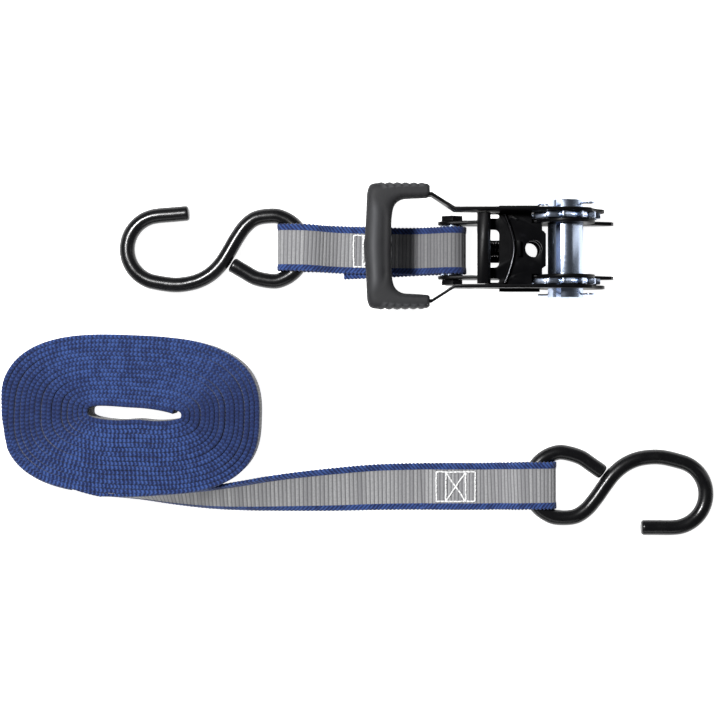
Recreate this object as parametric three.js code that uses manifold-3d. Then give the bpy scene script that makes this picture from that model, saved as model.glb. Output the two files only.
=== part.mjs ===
// A 1 in. ratchet tie down with two S-hooks: the ratchet on its short strap, and the
// loose long strap wound into a flat coil. Millimetres, +Z up, both halves lying on Z = 0.
import * as THREE from 'three';
import { mergeVertices } from 'three/addons/utils/BufferGeometryUtils.js';
import Module from 'manifold-3d';

// ---- Driving dimensions -------------------------------------------------------------
const GAP = 0.3;                 // clearance between neighbouring pieces
const WEB_W = 25.4;              // 1 in. webbing
const WEB_HALF = WEB_W / 2;
const WEB_T = 1.2;
const WIRE_R = 4.1;              // S-hook wire with its vinyl coat
const EYE_R = WIRE_R + GAP;      // inside of a strap's eye above and below the wire

// Where the pieces lie
const RATCHET = { x: 109, y: 58.8 };        // spindle axis, seen from above
const SHORT_HOOK = { x: -52.2, y: 60.2, turn: 180 };
const LONG_HOOK = { x: 113.5, y: -67.9, turn: -5 };
const COIL = { x: -120.8, y: -28.6, turn: -2 };
const SHORT_EYE_Y = 60.1;
const LONG_EYE_Y = -67.7;
const LONG_STRAP_Y = -68.5;

// Ratchet, in its own frame: the origin is the middle of the spindle's axis, X runs from
// the anchor bolt towards the spindle's free side, and the floor is at -AXIS_Z
const AXIS_Z = 21;
const PLATE_T = 1.8;
const FRAME_OUT = 15.5;          // outer face of a frame side plate
const FRAME_IN = FRAME_OUT - PLATE_T;
const FRAME_DISC_R = 15.5;
const ARM_OUT = 21.1;            // outer face of a handle arm
const ARM_IN = ARM_OUT - PLATE_T;
const WHEEL = { teeth: 12, tip: 18.3, root: 14.3, inner: 15.9, outer: 18.9, steep: 161.3 };
const SHAFT = { r: 9.35, slot: 2.7, half: 25.9, slotAngle: 120, pinY: 24.1, pinR: 1 };
const BORE_R = SHAFT.r + GAP;
const ANCHOR = { x: -59.5, z: 7.5 - AXIS_Z, lobe: 7.5, boltR: 4, spacerR: 6 };
const STACK_HOLE = { x: -17.3, r: 4.5 };    // hole through lever, lock pawl and frame web
const LEVER = {
  low: 3, high: 5, left: -35.5, tongue: -11.4, shoulder: -13.1, edge: -18.4, earEdge: -14.2, earOut: 22.8,
  barHalf: 18.7,
};
const LEVER_TRAVEL = { in: 2.2, out: 3.8 };
const LOCK = { low: -6, high: -4, left: -31, edge: -15.6, tongue: -9.9 };
const LOCK_TRAVEL = 3.2;
const GRIP = { left: -106.3, bar: 13.8, right: -72, half: 33, inner: 25.25, strip: 27.9, low: 2.2, high: 18 };
const TAB_X = -42;               // upturned spring tab on the frame web's tongue

const BLACK_STEEL = { color: 0x141416, roughness: 0.35, metalness: 0.4 };
const ZINC = { color: 0xb9bdc2, roughness: 0.28, metalness: 1 };
const RUBBER = { color: 0x2c2c2f, roughness: 0.75, metalness: 0 };
const VINYL = { color: 0x0b0b0d, roughness: 0.22, metalness: 0 };
const BLUE_WEB = { color: 0x2f4fa0, roughness: 0.9, metalness: 0 };
const GREY_WEB = { color: 0x8d8d8d, roughness: 0.9, metalness: 0 };
const THREAD = { color: 0xe6e6e2, roughness: 0.85, metalness: 0 };

// ---- Solids: joining and cutting ----------------------------------------------------
const wasm = await Module();
wasm.setup();

function toSolid(geometry) {
  const bare = geometry.clone();
  bare.deleteAttribute('normal');
  bare.deleteAttribute('uv');
  const merged = mergeVertices(bare, 1e-4);
  return new wasm.Manifold(new wasm.Mesh({
    numProp: 3,
    vertProperties: new Float32Array(merged.attributes.position.array),
    triVerts: new Uint32Array(merged.index.array),
  }));
}

function toGeometry(solid) {
  const mesh = solid.getMesh();
  const geometry = new THREE.BufferGeometry();
  geometry.setAttribute('position', new THREE.BufferAttribute(mesh.vertProperties, 3));
  geometry.setIndex(new THREE.BufferAttribute(mesh.triVerts, 1));
  geometry.computeVertexNormals();
  return geometry;
}

const join = (...parts) => parts.map(toSolid).reduce((sum, part) => sum.add(part));
const cut = (body, ...tools) =>
  toGeometry(tools.map(toSolid).reduce((rest, tool) => rest.subtract(tool), body));
const meet = (a, b) => toGeometry(toSolid(a).intersect(toSolid(b)));
const whole = (...parts) => toGeometry(join(...parts));

// ---- Shapes -------------------------------------------------------------------------
const rad = THREE.MathUtils.degToRad;
const polar = (r, deg) => [r * Math.cos(rad(deg)), r * Math.sin(rad(deg))];

function shapeOf(points) {
  return new THREE.Shape(points.map(([u, v]) => new THREE.Vector2(u, v)));
}

function arcPoints(cx, cy, r, from, to, steps) {
  return Array.from({ length: steps + 1 }, (_, i) => {
    const [u, v] = polar(r, from + (to - from) * i / steps);
    return [cx + u, cy + v];
  });
}

function circle(cx, cy, r, steps = 36) {
  return arcPoints(cx, cy, r, 0, 360 * (1 - 1 / steps), steps - 1);
}

// A plan outline (x, y) raised from z0 to z1
function raise(points, z0, z1, holes = []) {
  const shape = shapeOf(points);
  shape.holes = holes.map((hole) => new THREE.Path(hole.map(([u, v]) => new THREE.Vector2(u, v))));
  return new THREE.ExtrudeGeometry(shape, { depth: z1 - z0, bevelEnabled: false })
    .translate(0, 0, z0);
}

// A side outline (x, z) run across from y0 to y1
function across(points, y0, y1, holes = []) {
  return raise(points, 0, y1 - y0, holes).rotateX(Math.PI / 2).translate(0, y1, 0);
}

function block(x0, x1, y0, y1, z0, z1) {
  return new THREE.BoxGeometry(x1 - x0, y1 - y0, z1 - z0)
    .translate((x0 + x1) / 2, (y0 + y1) / 2, (z0 + z1) / 2);
}

// A rectangle in plan with rounded corners
function rounded(x0, x1, y0, y1, r) {
  return [[x1 - r, y1 - r, 0], [x0 + r, y1 - r, 90], [x0 + r, y0 + r, 180], [x1 - r, y0 + r, 270]]
    .flatMap(([x, y, from]) => arcPoints(x, y, r, from, from + 90, 4));
}

const mirrored = (points) => points.map(([u, v]) => [u, -v]).reverse();

function tube(curve, r, sides, steps) {
  return new THREE.ExtrudeGeometry(shapeOf(circle(0, 0, r, sides)), {
    steps, bevelEnabled: false, extrudePath: curve,
  });
}

const vectors = (points) => points.map((p) => new THREE.Vector3(...p));

// ---- Ratchet frame: one U-shaped stamping --------------------------------------------
function ratchetFrame() {
  const floor = -AXIS_Z;
  const side = [
    ...arcPoints(ANCHOR.x, ANCHOR.z, ANCHOR.lobe, 100, 270, 10),
    [19, floor], [24.6, floor + 1.3], [28, floor + 4.3], [26.4, floor + 7.4],
    ...arcPoints(0, 0, FRAME_DISC_R, -35, 173, 22),
    [-34, 1.9],
  ];
  const lockSlot = [
    [LOCK.left - LOCK_TRAVEL - GAP, LOCK.low - GAP], [LOCK.edge + GAP, LOCK.low - GAP],
    [LOCK.edge + GAP, LOCK.high + GAP], [LOCK.left - LOCK_TRAVEL - GAP, LOCK.high + GAP],
  ];
  const holes = [circle(0, 0, BORE_R, 40), circle(ANCHOR.x, ANCHOR.z, ANCHOR.boltR + GAP, 16), lockSlot];
  const plates = [-1, 1].map((s) => across(side,
    s < 0 ? -FRAME_OUT : FRAME_IN, s < 0 ? -FRAME_IN : FRAME_OUT, holes));
  const web = raise([
    [-33, -FRAME_IN - 0.5], [-11.2, -FRAME_IN - 0.5], [-11.2, FRAME_IN + 0.5], [-33, FRAME_IN + 0.5],
    [-33, 6.1], [TAB_X, 6.1], [TAB_X, -6.1], [-33, -6.1],
  ], floor, floor + PLATE_T, [circle(STACK_HOLE.x, 0, STACK_HOLE.r, 24)]);
  const tab = block(TAB_X, TAB_X + PLATE_T, -6.1, 6.1, floor, -1.5);
  return whole(...plates, web, tab);
}

// ---- Anchor bolt, its nut and the spacer that the strap turns round -------------------
const HEX = Array.from({ length: 6 }, (_, i) => polar(6.3, 60 * i + 30));

function anchorBolt() {
  const shank = across(circle(0, 0, ANCHOR.boltR, 16), -18.4, FRAME_OUT + 0.4);
  const head = across(HEX, FRAME_OUT + GAP, FRAME_OUT + 3);
  return whole(shank, head).translate(ANCHOR.x, 0, ANCHOR.z);
}

function anchorNut() {
  return across(HEX, -FRAME_OUT - 3, -FRAME_OUT - GAP, [circle(0, 0, ANCHOR.boltR + GAP, 16)])
    .translate(ANCHOR.x, 0, ANCHOR.z);
}

function anchorSpacer() {
  const reach = FRAME_IN - GAP;
  return across(circle(0, 0, ANCHOR.spacerR, 20), -reach, reach, [circle(0, 0, ANCHOR.boltR + GAP, 16)])
    .translate(ANCHOR.x, 0, ANCHOR.z);
}

// ---- Handle: one steel strip bent into a U, and the grip moulded over its end ---------
const ARM_MID = ARM_OUT - PLATE_T / 2;
const BAR_X = GRIP.left + GRIP.bar / 2;

// Plan outline of the bent strip, its faces `grow` further out than the real ones
function stripPlan(grow) {
  const t = PLATE_T / 2 + grow;
  const outer = [
    [21.4 + grow, ARM_MID + t], [-59.5, ARM_MID + t], [-71.5, GRIP.strip + t],
    ...arcPoints(BAR_X + 6, GRIP.strip - 6, 6 + t, 90, 180, 5),
  ];
  const inner = [
    ...arcPoints(BAR_X + 6, GRIP.strip - 6, 6 - t, 180, 90, 5),
    [-71.5, GRIP.strip - t], [-59.5, ARM_MID - t], [21.4 + grow, ARM_MID - t],
  ];
  return [...outer, ...mirrored(outer), ...mirrored(inner), ...inner];
}

// Side outline of the strip: tall plates round the spindle and the lever, low in the grip
function stripSide(grow) {
  return [
    [-110, 4.6 - grow], [-66, 4.6 - grow], [-50, 0], [-38, -1.6],
    [-19, -5], ...arcPoints(0, 0, 16.5, 225, 285, 5),
    ...arcPoints(12.6, -5, 8.8, -75, 60, 8), [12, 10.5],
    ...arcPoints(0, 0, 17.6, 45, 95, 5),
    [-14, 18.4], [-50, 18.4], [-64, 16.6 + grow], [-110, 15.4 + grow],
  ];
}

function handleFrame() {
  const strip = meet(raise(stripPlan(0), -40, 40), across(stripSide(0), -60, 60));
  const bore = across(circle(0, 0, BORE_R, 40), -60, 60);
  const slot = block(LEVER.left - LEVER_TRAVEL.out - GAP, LEVER.earEdge + LEVER_TRAVEL.in + GAP,
    -60, 60, LEVER.low - GAP, LEVER.high + GAP);
  return cut(toSolid(strip), bore, slot);
}

function handleGrip() {
  const corner = 7;
  const ridges = (y) => Array.from({ length: 24 }, (_, i) => {
    const x = GRIP.left + 8 + i;
    return [x, y + 0.6 * Math.abs(Math.sin(Math.PI * i / 4.3))];
  });
  const half = [
    ...ridges(GRIP.half - 0.6).reverse(), [GRIP.left + 5, GRIP.half],
    [GRIP.left + 2, GRIP.half - 3], [GRIP.left + 0.6, GRIP.half - 12], [GRIP.left, 0],
  ];
  const inside = [
    [GRIP.left + GRIP.bar, 0],
    ...arcPoints(GRIP.left + GRIP.bar + corner, GRIP.inner - corner, corner, 180, 90, 6),
    [GRIP.right, GRIP.inner], [GRIP.right, GRIP.half - 0.3], [GRIP.right - 4, GRIP.half],
  ];
  const round = 2.4;
  const plan = [...inside, ...half.slice(0, -1)];
  const outline = shapeOf([...plan, ...half.slice(-1), ...mirrored(plan).slice(0, -1)]);
  const body = new THREE.ExtrudeGeometry(outline, {
    depth: GRIP.high - GRIP.low - 2 * round, bevelEnabled: true, bevelThickness: round,
    bevelSize: round, bevelOffset: -round, bevelSegments: 2,
  }).translate(0, 0, GRIP.low + round);
  const pocket = meet(raise(stripPlan(GAP), -40, 40), across(stripSide(GAP), -60, 60));
  return cut(toSolid(body), pocket);
}

// ---- Release lever: finger bar, bridges between windows, plate with ears through the arms
function releaseLever() {
  const { low, high, left, tongue, shoulder, edge, earEdge, earOut, barHalf } = LEVER;
  const earIn = ARM_IN - 0.1;
  const upper = [
    [tongue, 0], ...arcPoints(tongue - 1.4, 8, 1.4, 0, 75, 4), [shoulder, 9.8],
    [shoulder, FRAME_IN - 0.4], [edge, FRAME_IN - 0.4], [edge, earIn], [earEdge, earIn],
    [earEdge, earOut], [left, earOut], [left, barHalf], [left - 5, barHalf],
  ];
  const plan = [...upper, ...mirrored(upper).slice(0, -1)];
  const plate = raise(plan, low, high, [circle(STACK_HOLE.x, 0, STACK_HOLE.r, 24)]);
  const bar = across([
    [-41.2, 5], [-41.2, 9.4], [-40.6, 11.6], [-42.2, 13.4], [-45, 13.6], [-47.2, 12.4],
    [-47.6, 10], [-45.6, 8.8], [-43.2, 9], [-43, 3], [-39.6, 3], [-39.6, 5],
  ], -barHalf, barHalf);
  const catchTab = block(-26.2, -24.6, -4, 4, high - 0.5, high + 3);
  const dimples = [[-29.9, 15.8], [-26.2, 15.3], [-27.5, -14.6], [-29.9, -16]]
    .map(([x, y]) => raise(circle(x, y, 0.7, 12), high - 0.5, high + 0.35));
  const windows = [
    rounded(-43.2, left, -10, 10, 2.4), rounded(-43.2, left, 15.9, 18, 1), rounded(-43.2, left, -18, -15.9, 1),
  ].map((outline) => raise(outline, low - 1, 8.6));
  return cut(join(plate, bar, catchTab, ...dimples), ...windows);
}

// Bowed wire that pushes the lever's catch tab towards the ratchet wheels
function leverSpring() {
  const z = LEVER.high + GAP + 0.9;
  const bow = [[-33, 18.7, z], [-30.4, 12.4, z], [-28, 3, z], [-28, -3, z], [-30.4, -12.4, z], [-33, -18.7, z]];
  return tube(new THREE.CatmullRomCurve3(vectors(bow)), 0.8, 8, 24);
}

// ---- Lock pawl: sliding plate in the frame's slots, and its coil spring ---------------
function lockPawl() {
  const ear = WHEEL.outer;
  const upper = [
    [LOCK.tongue, 0], [LOCK.tongue, 8.6], [LOCK.tongue - 2, 10], [LOCK.tongue - 2, FRAME_IN - 0.4],
    [LOCK.edge, FRAME_IN - 0.4], [LOCK.edge, ear], [LOCK.left, ear], [LOCK.left, 0],
  ];
  const plan = [...upper.slice(0, -1), ...mirrored(upper.slice(1, -1))];
  return raise(plan, LOCK.low, LOCK.high, [circle(STACK_HOLE.x, 0, STACK_HOLE.r, 24)]);
}

function lockPawlSpring() {
  const from = TAB_X + PLATE_T + 1;
  const to = LOCK.left - 1;
  const turns = 5;
  const steps = turns * 12;
  const z = (LOCK.low + LOCK.high) / 2;
  const helix = Array.from({ length: steps + 1 }, (_, i) => {
    const [y, dz] = polar(3.2, 360 * turns * i / steps);
    return [from + (to - from) * i / steps, y, z + dz];
  });
  return tube(new THREE.CatmullRomCurve3(vectors(helix)), 0.5, 6, steps);
}

// ---- Spindle: two half-round bars, two ratchet wheels, two cotter pins ----------------
function halfRound(r, halfGap, side) {
  const open = Math.acos(halfGap / r) * 180 / Math.PI;
  const middle = SHAFT.slotAngle - 90 + (side < 0 ? 180 : 0);
  return arcPoints(0, 0, r, middle - open, middle + open, 20);
}

function spindleHalf(side) {
  const bar = across(halfRound(SHAFT.r, SHAFT.slot / 2, side), -SHAFT.half, SHAFT.half);
  const holes = [-1, 1].map((s) => new THREE.CylinderGeometry(SHAFT.pinR + GAP, SHAFT.pinR + GAP, 30, 12)
    .rotateZ(-Math.PI / 2).rotateY(-rad(SHAFT.slotAngle - 90)).translate(0, s * SHAFT.pinY, 0));
  return cut(toSolid(bar), ...holes);
}

function ratchetWheel(side) {
  const pitch = 360 / WHEEL.teeth;
  const rim = Array.from({ length: WHEEL.teeth }, (_, i) => {
    const steep = WHEEL.steep + i * pitch;
    return [polar(WHEEL.root, steep), polar(WHEEL.root + 1.6, steep + 12),
      polar(WHEEL.tip, steep + pitch - 3.5), polar(WHEEL.tip, steep + pitch)];
  }).flat();
  const slots = [-1, 1].map((s) => halfRound(BORE_R, SHAFT.slot / 2 - GAP, s));
  return side < 0 ? across(rim, -WHEEL.outer, -WHEEL.inner, slots)
    : across(rim, WHEEL.inner, WHEEL.outer, slots);
}

function cotterPin(side) {
  const shank = new THREE.CylinderGeometry(SHAFT.pinR, SHAFT.pinR, 24, 12).rotateZ(-Math.PI / 2);
  const eye = new THREE.TorusGeometry(2.2, 0.9, 8, 18).rotateX(Math.PI / 2).translate(13.6, 0, 0);
  return whole(shank, eye).rotateY(-rad(SHAFT.slotAngle - 90)).translate(0, side * SHAFT.pinY, 0);
}

// ---- S-hooks ---------------------------------------------------------------------------
// In the hook's own plane: the closed loop is at -X, its end butting on the shank, and the
// open hook at +X has its tip on the -Y side
const HOOK = { loopX: -4, loopR: 17.8, openX: 55.6, openY: 0.3, openR: 18.1 };
const LOOP_END = HOOK.loopX - HOOK.loopR;
const OPEN_END = HOOK.openX + HOOK.openR;

function sHook() {
  const route = [
    [17.2, 8.5], [10.4, 12.4], [4, 15.9], ...arcPoints(HOOK.loopX, 0, HOOK.loopR, 98, 262, 12),
    [4, -16.3], [9.6, -12.2], [14.2, -5.9], [18.7, 1.8], [23, 8.4], [28.5, 13.8], [34.5, 17.2], [41, 19],
    [48, 19.6], ...arcPoints(HOOK.openX, HOOK.openY, HOOK.openR, 83, -85, 12), [48, -18.5], [40.2, -19.2],
  ];
  const flat = route.map(([u, v]) => [u, v, 0]);
  return tube(new THREE.CatmullRomCurve3(vectors(flat), false, 'centripetal'), WIRE_R, 12, 78);
}

// ---- Webbing ---------------------------------------------------------------------------
const STITCHED = 2 * WEB_T;      // thickness where two layers lie together

// Short strap: double all along, an eye round the hook's wire and one round the spacer
const SHORT = { fold: -44.9, inner: -27.3, bend: -15.3, spacer: RATCHET.x + ANCHOR.x };

// An oblong eye: the webbing folds round at `fold`, its opening ends past `inner`, and at
// `bend` its two layers lie together
function eye({ fold, inner, bend }, y) {
  const s = Math.sign(bend - fold);
  const r = EYE_R + WEB_T;
  const ring = [...arcPoints(fold + s * r, r, r, 90, 90 + s * 180, 10),
    [bend, 0], [bend, STITCHED], [inner + s * 1.5, 2 * r]];
  const inside = [...arcPoints(fold + s * r, r, EYE_R, 90, 90 + s * 180, 10),
    [inner, WEB_T], [inner + s * 2.5, r], [inner, r + EYE_R]];
  return across(s > 0 ? ring : ring.reverse(), y - WEB_HALF, y + WEB_HALF, [inside]);
}

function shortBand() {
  const r = ANCHOR.spacerR + GAP;
  const cx = SHORT.spacer;
  const cz = ANCHOR.lobe;
  const outer = [
    [SHORT.bend + GAP, 0], ...arcPoints(cx, cz, r + WEB_T, -90, 115, 14), [24, STITCHED],
    [SHORT.bend + GAP, STITCHED],
  ];
  const hole = [...arcPoints(cx, cz, r, -90, 115, 14), [30, 3.4], [32, 1.3]];
  return across(outer, RATCHET.y - WEB_HALF, RATCHET.y + WEB_HALF, [hole]);
}

// Box stitching: a frame of thread with a cross in it, w long and h wide
function boxStitch(w, h, line) {
  const [a, b] = [w / 2, h / 2];
  const inset = line * 1.5;
  const side = [[a - line, b - inset - line], [a - line, -b + inset + line], [line, 0]];
  const top = [[-a + inset + line, b - line], [a - inset - line, b - line], [0, line]];
  const flip = (points) => points.map(([u, v]) => [-u, -v]);
  return raise([[-a, -b], [a, -b], [a, b], [-a, b]], 0, 0.4, [side, flip(side), top, flip(top)]);
}

// Long strap: flat double end with its eye, a run that twists down off the coil, the coil
const LONG = { fold: 107.8, inner: 88.3, bend: 76.3, stitchedFrom: 40.5 };

function longEnd() {
  return block(LONG.stitchedFrom, LONG.bend - GAP, LONG_STRAP_Y - WEB_HALF, LONG_STRAP_Y + WEB_HALF, 0, STITCHED);
}

// Lower edge's place and the tilt from upright, in degrees, along the twisting run
const RUN = [
  { x: -137, y: -74.6, tilt: 1 }, { x: -113, y: -76, tilt: 6 }, { x: -79, y: -80, tilt: 23 },
  { x: -62, y: -80.9, tilt: 38 }, { x: -48, y: -81.3, tilt: 49 }, { x: -16, y: -81.7, tilt: 68 },
  { x: 12, y: -81.3, tilt: 82 }, { x: 40.2, y: -81.2, tilt: 90 },
];

function longRun() {
  const edge = new THREE.CatmullRomCurve3(vectors(RUN.map(({ x, y }) => [x, y, 0])));
  const lean = new THREE.CatmullRomCurve3(vectors(RUN.map(({ x, tilt }) => [x, tilt, 0])));
  const strip = new THREE.BoxGeometry(1, WEB_W, WEB_T, 40, 4, 1);
  const place = strip.attributes.position;
  for (let i = 0; i < place.count; i += 1) {
    const along = place.getX(i) + 0.5;
    const up = place.getY(i) + WEB_HALF;
    const out = place.getZ(i) + WEB_T / 2;
    const foot = edge.getPoint(along);
    const tilt = rad(lean.getPoint(along).y);
    const rise = up * Math.cos(tilt) + out * Math.sin(tilt);
    place.setXYZ(i, foot.x, foot.y + up * Math.sin(tilt) - out * Math.cos(tilt), rise);
  }
  return strip;
}

function superellipse(a, b, n, steps) {
  return Array.from({ length: steps }, (_, i) => {
    const [c, s] = polar(1, 360 * i / steps);
    return [a * Math.sign(c) * Math.abs(c) ** (2 / n), b * Math.sign(s) * Math.abs(s) ** (2 / n)];
  });
}

function coil() {
  const window = [...arcPoints(22, 0, 3.1, -90, 90, 6), ...arcPoints(-22, 0, 3.1, 90, 270, 6)];
  return raise(superellipse(67.3, 42.4, 2.5, 64), 0, WEB_W, [window]);
}

// ---- Assembly --------------------------------------------------------------------------
const assembly = new THREE.Group();
const placed = new THREE.Group();
assembly.add(placed);

function add(group, name, geometry, look) {
  const mesh = new THREE.Mesh(geometry, new THREE.MeshStandardMaterial(look));
  mesh.name = name;
  group.add(mesh);
  return mesh;
}

const ratchet = new THREE.Group();
ratchet.position.set(RATCHET.x, RATCHET.y, AXIS_Z);
placed.add(ratchet);
add(ratchet, 'ratchet_frame', ratchetFrame(), BLACK_STEEL);
add(ratchet, 'anchor_bolt', anchorBolt(), BLACK_STEEL);
add(ratchet, 'anchor_nut', anchorNut(), BLACK_STEEL);
add(ratchet, 'anchor_spacer', anchorSpacer(), ZINC);
add(ratchet, 'lock_pawl', lockPawl(), BLACK_STEEL);
add(ratchet, 'lock_pawl_spring', lockPawlSpring(), ZINC);
add(ratchet, 'handle_frame', handleFrame(), BLACK_STEEL);
add(ratchet, 'handle_grip', handleGrip(), RUBBER);
add(ratchet, 'release_lever', releaseLever(), BLACK_STEEL);
add(ratchet, 'release_lever_spring', leverSpring(), ZINC);
for (const [side, name] of [[-1, 'near'], [1, 'far']]) {
  add(ratchet, `spindle_half_${side < 0 ? 'left' : 'right'}`, spindleHalf(side), ZINC);
  add(ratchet, `ratchet_wheel_${name}`, ratchetWheel(side), ZINC);
  add(ratchet, `cotter_pin_${name}`, cotterPin(side), ZINC);
}

add(placed, 'short_strap', shortBand(), GREY_WEB);
add(placed, 'short_strap_eye', eye(SHORT, SHORT_EYE_Y), GREY_WEB);
const shortStitch = add(placed, 'short_strap_stitching', boxStitch(20, 17, 0.8), THREAD);
shortStitch.position.set(8, RATCHET.y, STITCHED + 0.1);
add(placed, 'long_strap_end', longEnd(), GREY_WEB);
add(placed, 'long_strap_eye', eye(LONG, LONG_EYE_Y), GREY_WEB);
const longStitch = add(placed, 'long_strap_stitching', boxStitch(21.5, 17, 0.8), THREAD);
longStitch.position.set(52, LONG_STRAP_Y, STITCHED + 0.1);
add(placed, 'long_strap_run', longRun(), BLUE_WEB);
const wound = add(placed, 'long_strap_coil', coil(), BLUE_WEB);
wound.position.set(COIL.x, COIL.y, 0);
wound.rotation.z = rad(COIL.turn);

// Each hook's loop is held up by its eye's lower layer and its far end rests on the floor
const REST_TILT = Math.asin((WEB_T + GAP) / (OPEN_END - LOOP_END));
for (const [name, at] of [['short_strap_hook', SHORT_HOOK], ['long_strap_hook', LONG_HOOK]]) {
  const hook = add(placed, name, sHook(), VINYL);
  const turned = new THREE.Group();
  turned.add(hook);
  hook.rotation.y = REST_TILT;
  turned.rotation.z = rad(at.turn);
  turned.position.set(at.x, at.y, EYE_R + WEB_T + LOOP_END * Math.sin(REST_TILT));
  placed.add(turned);
}

// The origin is under the middle of the assembly's bounding box, on the floor
assembly.updateMatrixWorld(true);
const bounds = new THREE.Box3().setFromObject(assembly, true);
const centre = bounds.getCenter(new THREE.Vector3());
placed.position.set(-centre.x, -centre.y, -bounds.min.z);

export default assembly;
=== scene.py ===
"""Looks of the ratchet tie down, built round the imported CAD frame.

Lengths are in millimetres in the drawing's own axes, and build() turns them into the frame's metres.
"""
import math

import bpy
import numpy as np
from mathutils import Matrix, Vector
from mathutils.geometry import tessellate_polygon


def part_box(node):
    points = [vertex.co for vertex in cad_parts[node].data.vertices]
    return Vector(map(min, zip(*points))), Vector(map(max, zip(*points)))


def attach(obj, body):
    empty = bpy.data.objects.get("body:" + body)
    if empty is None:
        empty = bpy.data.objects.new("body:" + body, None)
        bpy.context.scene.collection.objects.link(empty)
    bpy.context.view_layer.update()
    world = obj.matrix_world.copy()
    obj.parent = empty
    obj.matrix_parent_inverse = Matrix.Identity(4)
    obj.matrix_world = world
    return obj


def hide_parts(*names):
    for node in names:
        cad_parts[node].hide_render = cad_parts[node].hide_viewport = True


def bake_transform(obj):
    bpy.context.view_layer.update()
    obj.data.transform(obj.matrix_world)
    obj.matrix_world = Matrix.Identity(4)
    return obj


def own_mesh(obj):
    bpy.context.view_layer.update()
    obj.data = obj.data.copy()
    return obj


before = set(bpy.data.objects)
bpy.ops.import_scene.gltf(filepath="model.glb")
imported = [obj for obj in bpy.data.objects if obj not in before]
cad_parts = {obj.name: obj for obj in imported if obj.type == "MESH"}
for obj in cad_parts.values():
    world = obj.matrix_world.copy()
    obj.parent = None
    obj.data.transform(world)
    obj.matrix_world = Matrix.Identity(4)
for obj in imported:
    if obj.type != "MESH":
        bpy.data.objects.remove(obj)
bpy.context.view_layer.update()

MM = 0.001
COIL = np.array([-120.8, -28.6])  # middle of the coil, in the drawing
coil_low, coil_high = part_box("long_strap_coil")
# From the drawing's origin to the frame's: the coil's CAD node shows where the packer put it
SHIFT = np.array([(coil_low.x + coil_high.x) / 2 / MM - COIL[0],
                  (coil_low.y + coil_high.y) / 2 / MM - COIL[1], 0.0])

# ---- Driving dimensions ------------------------------------------------------------------
RATCHET = np.array([109.0, 58.8, 21.0])  # middle of the spindle's axis
WEB_HALF = 12.7  # half the webbing's width
WEB_T = 1.0
GREY_HALF = 9.1  # half the width of its grey middle
SELVAGE_T = 1.5  # the blue edges are woven thicker than the grey middle
COIL_SELVAGE_T = 2.25  # and are drawn thicker still in the coil, where they touch
RIB = 2.1  # pitch of the weft ribs
CHEVRON = 0.42  # slant of the selvage's loops, in ribs per millimetre of width
STRIP_STEP = RIB / 6  # between points along flat webbing
COIL_STEP = RIB / 4
WIRE_R = 4.1
SHORT_HOOK = {"x": -52.2, "y": 60.2, "turn": 180}
LONG_HOOK = {"x": 113.5, "y": -67.9, "turn": -5}
LOOP_X, LOOP_R = -4.0, 17.8  # the closed loop, in the hook's own plane
OPEN_X, OPEN_Y, OPEN_R = 55.6, 0.3, 18.1  # the open hook
EYE_HEIGHT = 5.6  # middle of the wire above the floor, where the strap's eye holds it


# ---- Camera, light and floor -------------------------------------------------------------
CAMERA_HEIGHT = 0.89  # metres, straight above the drawing's origin
FLOOR_HALF, FLOOR_DROP = 6.0, 0.0004  # metres


def camera():
    data = bpy.data.cameras.new("camera")
    data.lens, data.sensor_width = 81.9, 36
    data.clip_start, data.clip_end = 0.01, 10
    obj = bpy.data.objects.new("camera", data)
    obj.location = (SHIFT[0] * MM, SHIFT[1] * MM, CAMERA_HEIGHT)
    bpy.context.scene.collection.objects.link(obj)
    bpy.context.scene.camera = obj


def area_light(name, place, aim, size, power, colour=(1, 1, 1)):
    data = bpy.data.lights.new(name, "AREA")
    data.shape = "RECTANGLE"
    data.size, data.size_y = size
    data.energy, data.color = power, colour
    obj = bpy.data.objects.new(name, data)
    obj.location = place
    obj.rotation_euler = (Vector(aim) - Vector(place)).to_track_quat("-Z", "Y").to_euler()
    bpy.context.scene.collection.objects.link(obj)


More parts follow.
